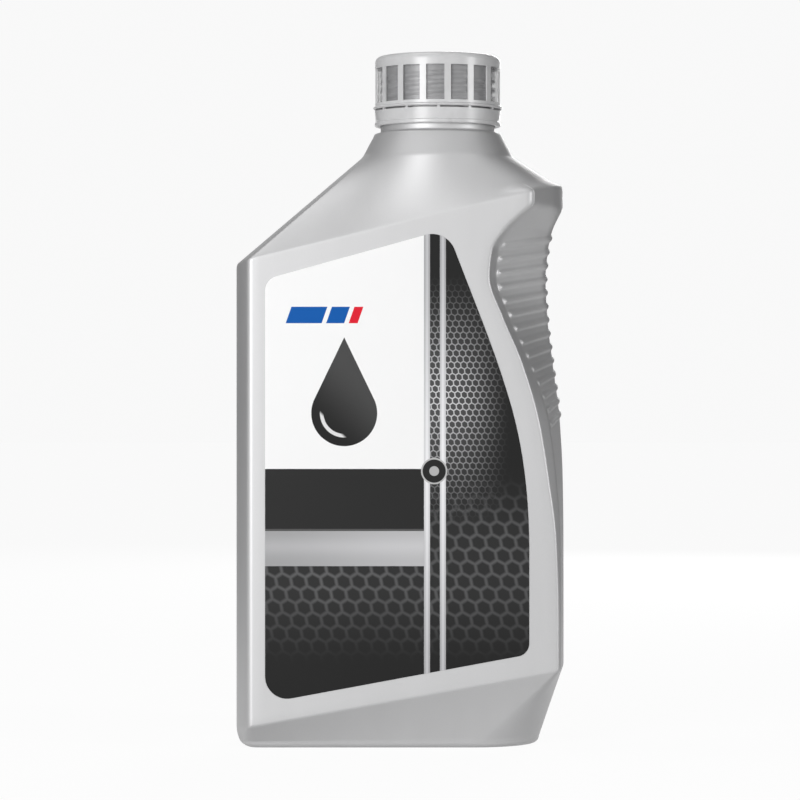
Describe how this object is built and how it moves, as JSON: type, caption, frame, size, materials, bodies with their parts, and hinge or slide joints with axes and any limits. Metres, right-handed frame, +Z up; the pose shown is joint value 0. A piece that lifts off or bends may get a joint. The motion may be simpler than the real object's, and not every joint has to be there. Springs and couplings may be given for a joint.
{
  "type": "motor oil bottle",
  "caption": "Blow-moulded quart bottle with flat label panels, a ribbed grip, a sloping shoulder and an off-centre neck with a ribbed screw cap and tamper ring.",
  "frame": {"origin": "on the floor, at the middle of the bottle's width and depth", "axes": "+Z up, +X across the front panel towards the ribbed grip, +Y from the front panel to the back"},
  "size_m": [0.1116, 0.058, 0.234],
  "materials": {
    "bottle_plastic": "satin silver polyethylene",
    "cap_plastic": "translucent grey polypropylene",
    "liner_foam": "white foam wad",
    "oil": "clear amber liquid",
    "label_film": "printed film"
  },
  "bodies": {
    "bottle": {"bottle": "bottle_plastic", "tamper_band": "cap_plastic", "oil": "oil", "front_label": "label_film", "back_label": "label_film"},
    "liner": {"cap_liner": "liner_foam"},
    "cap": {"cap": "cap_plastic"}
  },
  "joints": [
    {"name": "cap_rise", "type": "slide", "parent": "bottle", "child": "liner", "axis": [0, 0, 1], "range_m": [0, 0.0101]},
    {"name": "cap_turn", "type": "hinge", "parent": "liner", "child": "cap", "pos_m": [0.0129, 0, 0.2159], "axis": [0, 0, 1], "range_deg": [0, 600]}
  ],
  "couplings": [
    {"joint": "cap_rise", "follows": "cap_turn", "m_per_rad": 0.00095493}
  ]
}
